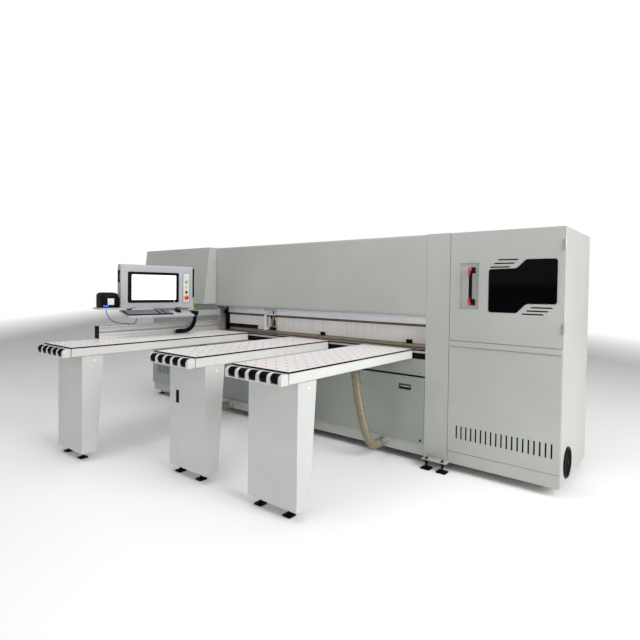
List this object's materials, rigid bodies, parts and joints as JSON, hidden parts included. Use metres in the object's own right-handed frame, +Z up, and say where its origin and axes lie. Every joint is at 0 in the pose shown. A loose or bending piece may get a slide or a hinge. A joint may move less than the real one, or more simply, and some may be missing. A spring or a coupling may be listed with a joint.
{
  "type": "panel saw",
  "caption": "Long beam panel saw with enclosed base and clamp beam, tall control cabinet, front air float tables on tapered legs, side fence and a swivelling console.",
  "frame": {"origin": "middle of the machine's length and depth, on the floor", "axes": "+X along the clamp beam towards the electrical cabinet, +Y from the operator's tables to the rear feed, +Z up"},
  "size_m": [5.28, 4.072, 1.986],
  "materials": {
    "grey_paint": "satin powder coat",
    "pale_paint": "satin powder coat",
    "black_plastic": "matte",
    "black_rubber": "matte",
    "aluminium": "satin anodised",
    "steel": "ground",
    "blade_steel": "polished",
    "laminate": "satin speckled",
    "smoked_window": "gloss",
    "curtain_plastic": "satin",
    "bronze": "satin",
    "hose_plastic": "satin ribbed",
    "monitor_black": "satin",
    "motor_paint": "satin",
    "mint_button": "translucent",
    "green_button": "gloss",
    "yellow_button": "gloss",
    "red_button": "gloss",
    "black_button": "gloss"
  },
  "bodies": {
    "frame": {"base_frame": "grey_paint", "base_cover": "pale_paint", "plinths": "grey_paint", "machine_feet": "black_plastic", "saw_tables": "steel", "edge_strips": "black_plastic", "left_end_frame": "grey_paint", "left_housing": "pale_paint", "column_cover": "pale_paint", "cabinet_shell": "pale_paint", "cabinet_lower_panel": "pale_paint", "door_hinges": "steel", "fan_ring": "black_plastic", "beam_frame": "grey_paint", "beam_cover": "pale_paint", "valance": "aluminium", "strip_curtain": "curtain_plastic", "curtain_rod": "bronze", "table_boxes": "grey_paint", "table_tops": "laminate", "table_legs": "pale_paint", "fence_rail": "aluminium", "console_arm": "grey_paint", "hose_couplings": "steel", "arm_conduit": "black_rubber", "rear_frame": "grey_paint", "dust_hose_1": "hose_plastic", "dust_hose_2": "hose_plastic", "dust_hose_3": "hose_plastic"},
    "sliding_door": {"base_door": "grey_paint"},
    "cabinet_door_leaf": {"cabinet_door": "pale_paint", "door_window": "smoked_window", "door_handle": "black_plastic"},
    "fan": {"fan_impeller": "black_plastic"},
    "clamp_beam": {"pressure_beam": "aluminium"},
    "aligner": {"side_aligner": "black_plastic"},
    "saw_carriage": {"carriage": "steel"},
    "saw_unit": {"saw_slide": "steel", "saw_motor": "motor_paint"},
    "main_arbor": {"main_blade": "blade_steel"},
    "scoring_arbor": {"scoring_blade": "blade_steel"},
    "rollers_1": {"table_rollers_1": "black_rubber"},
    "rollers_2": {"table_rollers_2": "black_rubber"},
    "rollers_3": {"table_rollers_3": "black_rubber"},
    "console": {"console_box": "pale_paint", "monitor": "monitor_black", "button_plate": "pale_paint", "console_handles": "black_plastic", "keyboard_tray": "pale_paint", "keyboard": "black_plastic", "mouse": "black_plastic", "label_printer": "black_plastic", "printer_cable": "black_rubber"},
    "lamp_push": {"lamp_button": "mint_button"},
    "start_push": {"start_button": "green_button"},
    "pause_push": {"pause_button": "yellow_button"},
    "reset_push": {"reset_button": "black_button"},
    "stop_push": {"emergency_stop": "red_button"},
    "pusher": {"pusher_bridge": "pale_paint"},
    "jaws": {"gripper_jaws": "black_plastic"}
  },
  "joints": [
    {"name": "front_door_slide", "type": "slide", "parent": "frame", "child": "sliding_door", "axis": [-1, 0, 0], "range_m": [0, 1.25]},
    {"name": "cabinet_door_hinge", "type": "hinge", "parent": "frame", "child": "cabinet_door_leaf", "pos_m": [2.633, -0.006, 1.5], "axis": [0, 0, 1], "range_deg": [0, 110]},
    {"name": "fan_spin", "type": "hinge", "parent": "frame", "child": "fan", "pos_m": [2.61, 0.228, 0.211], "axis": [1, 0, 0], "continuous": true},
    {"name": "clamp_beam_lift", "type": "slide", "parent": "frame", "child": "clamp_beam", "axis": [0, 0, 1], "range_m": [0, 0.075]},
    {"name": "aligner_slide", "type": "slide", "parent": "frame", "child": "aligner", "axis": [1, 0, 0], "range_m": [-0.5, 1.2]},
    {"name": "carriage_travel", "type": "slide", "parent": "frame", "child": "saw_carriage", "axis": [1, 0, 0], "range_m": [0, 2.98]},
    {"name": "saw_lift", "type": "slide", "parent": "saw_carriage", "child": "saw_unit", "axis": [0, 0, 1], "range_m": [0, 0.11]},
    {"name": "main_blade_spin", "type": "hinge", "parent": "saw_unit", "child": "main_arbor", "pos_m": [-1.7, 0.336, 0.745], "axis": [0, 1, 0], "continuous": true},
    {"name": "scoring_blade_spin", "type": "hinge", "parent": "saw_unit", "child": "scoring_arbor", "pos_m": [-1.99, 0.336, 0.797], "axis": [0, 1, 0], "continuous": true},
    {"name": "table_roller_spin_1", "type": "hinge", "parent": "frame", "child": "rollers_1", "pos_m": [-0.954, -2.005, 0.95], "axis": [1, 0, 0], "continuous": true},
    {"name": "table_roller_spin_2", "type": "hinge", "parent": "frame", "child": "rollers_2", "pos_m": [0.221, -1.631, 0.95], "axis": [1, 0, 0], "continuous": true},
    {"name": "table_roller_spin_3", "type": "hinge", "parent": "frame", "child": "rollers_3", "pos_m": [1.159, -1.631, 0.95], "axis": [1, 0, 0], "continuous": true},
    {"name": "console_swivel", "type": "hinge", "parent": "frame", "child": "console", "pos_m": [-1.231, -0.42, 1.25], "axis": [0, 0, 1], "range_deg": [-15, 35]},
    {"name": "lamp_press", "type": "slide", "parent": "console", "child": "lamp_push", "axis": [-0.9877, 0.1564, 0], "range_m": [0, 0.004], "stiffness_N_per_m": 500},
    {"name": "start_press", "type": "slide", "parent": "console", "child": "start_push", "axis": [-0.9877, 0.1564, 0], "range_m": [0, 0.004], "stiffness_N_per_m": 500},
    {"name": "pause_press", "type": "slide", "parent": "console", "child": "pause_push", "axis": [-0.9877, 0.1564, 0], "range_m": [0, 0.004], "stiffness_N_per_m": 500},
    {"name": "reset_press", "type": "slide", "parent": "console", "child": "reset_push", "axis": [-0.9877, 0.1564, 0], "range_m": [0, 0.004], "stiffness_N_per_m": 500},
    {"name": "emergency_press", "type": "slide", "parent": "console", "child": "stop_push", "axis": [-0.9877, 0.1564, 0], "range_m": [0, 0.004], "stiffness_N_per_m": 500},
    {"name": "pusher_travel", "type": "slide", "parent": "frame", "child": "pusher", "axis": [0, -1, 0], "range_m": [0, 0.85]},
    {"name": "gripper_lift", "type": "slide", "parent": "pusher", "child": "jaws", "axis": [0, 0, 1], "range_m": [0, 0.03]}
  ]
}
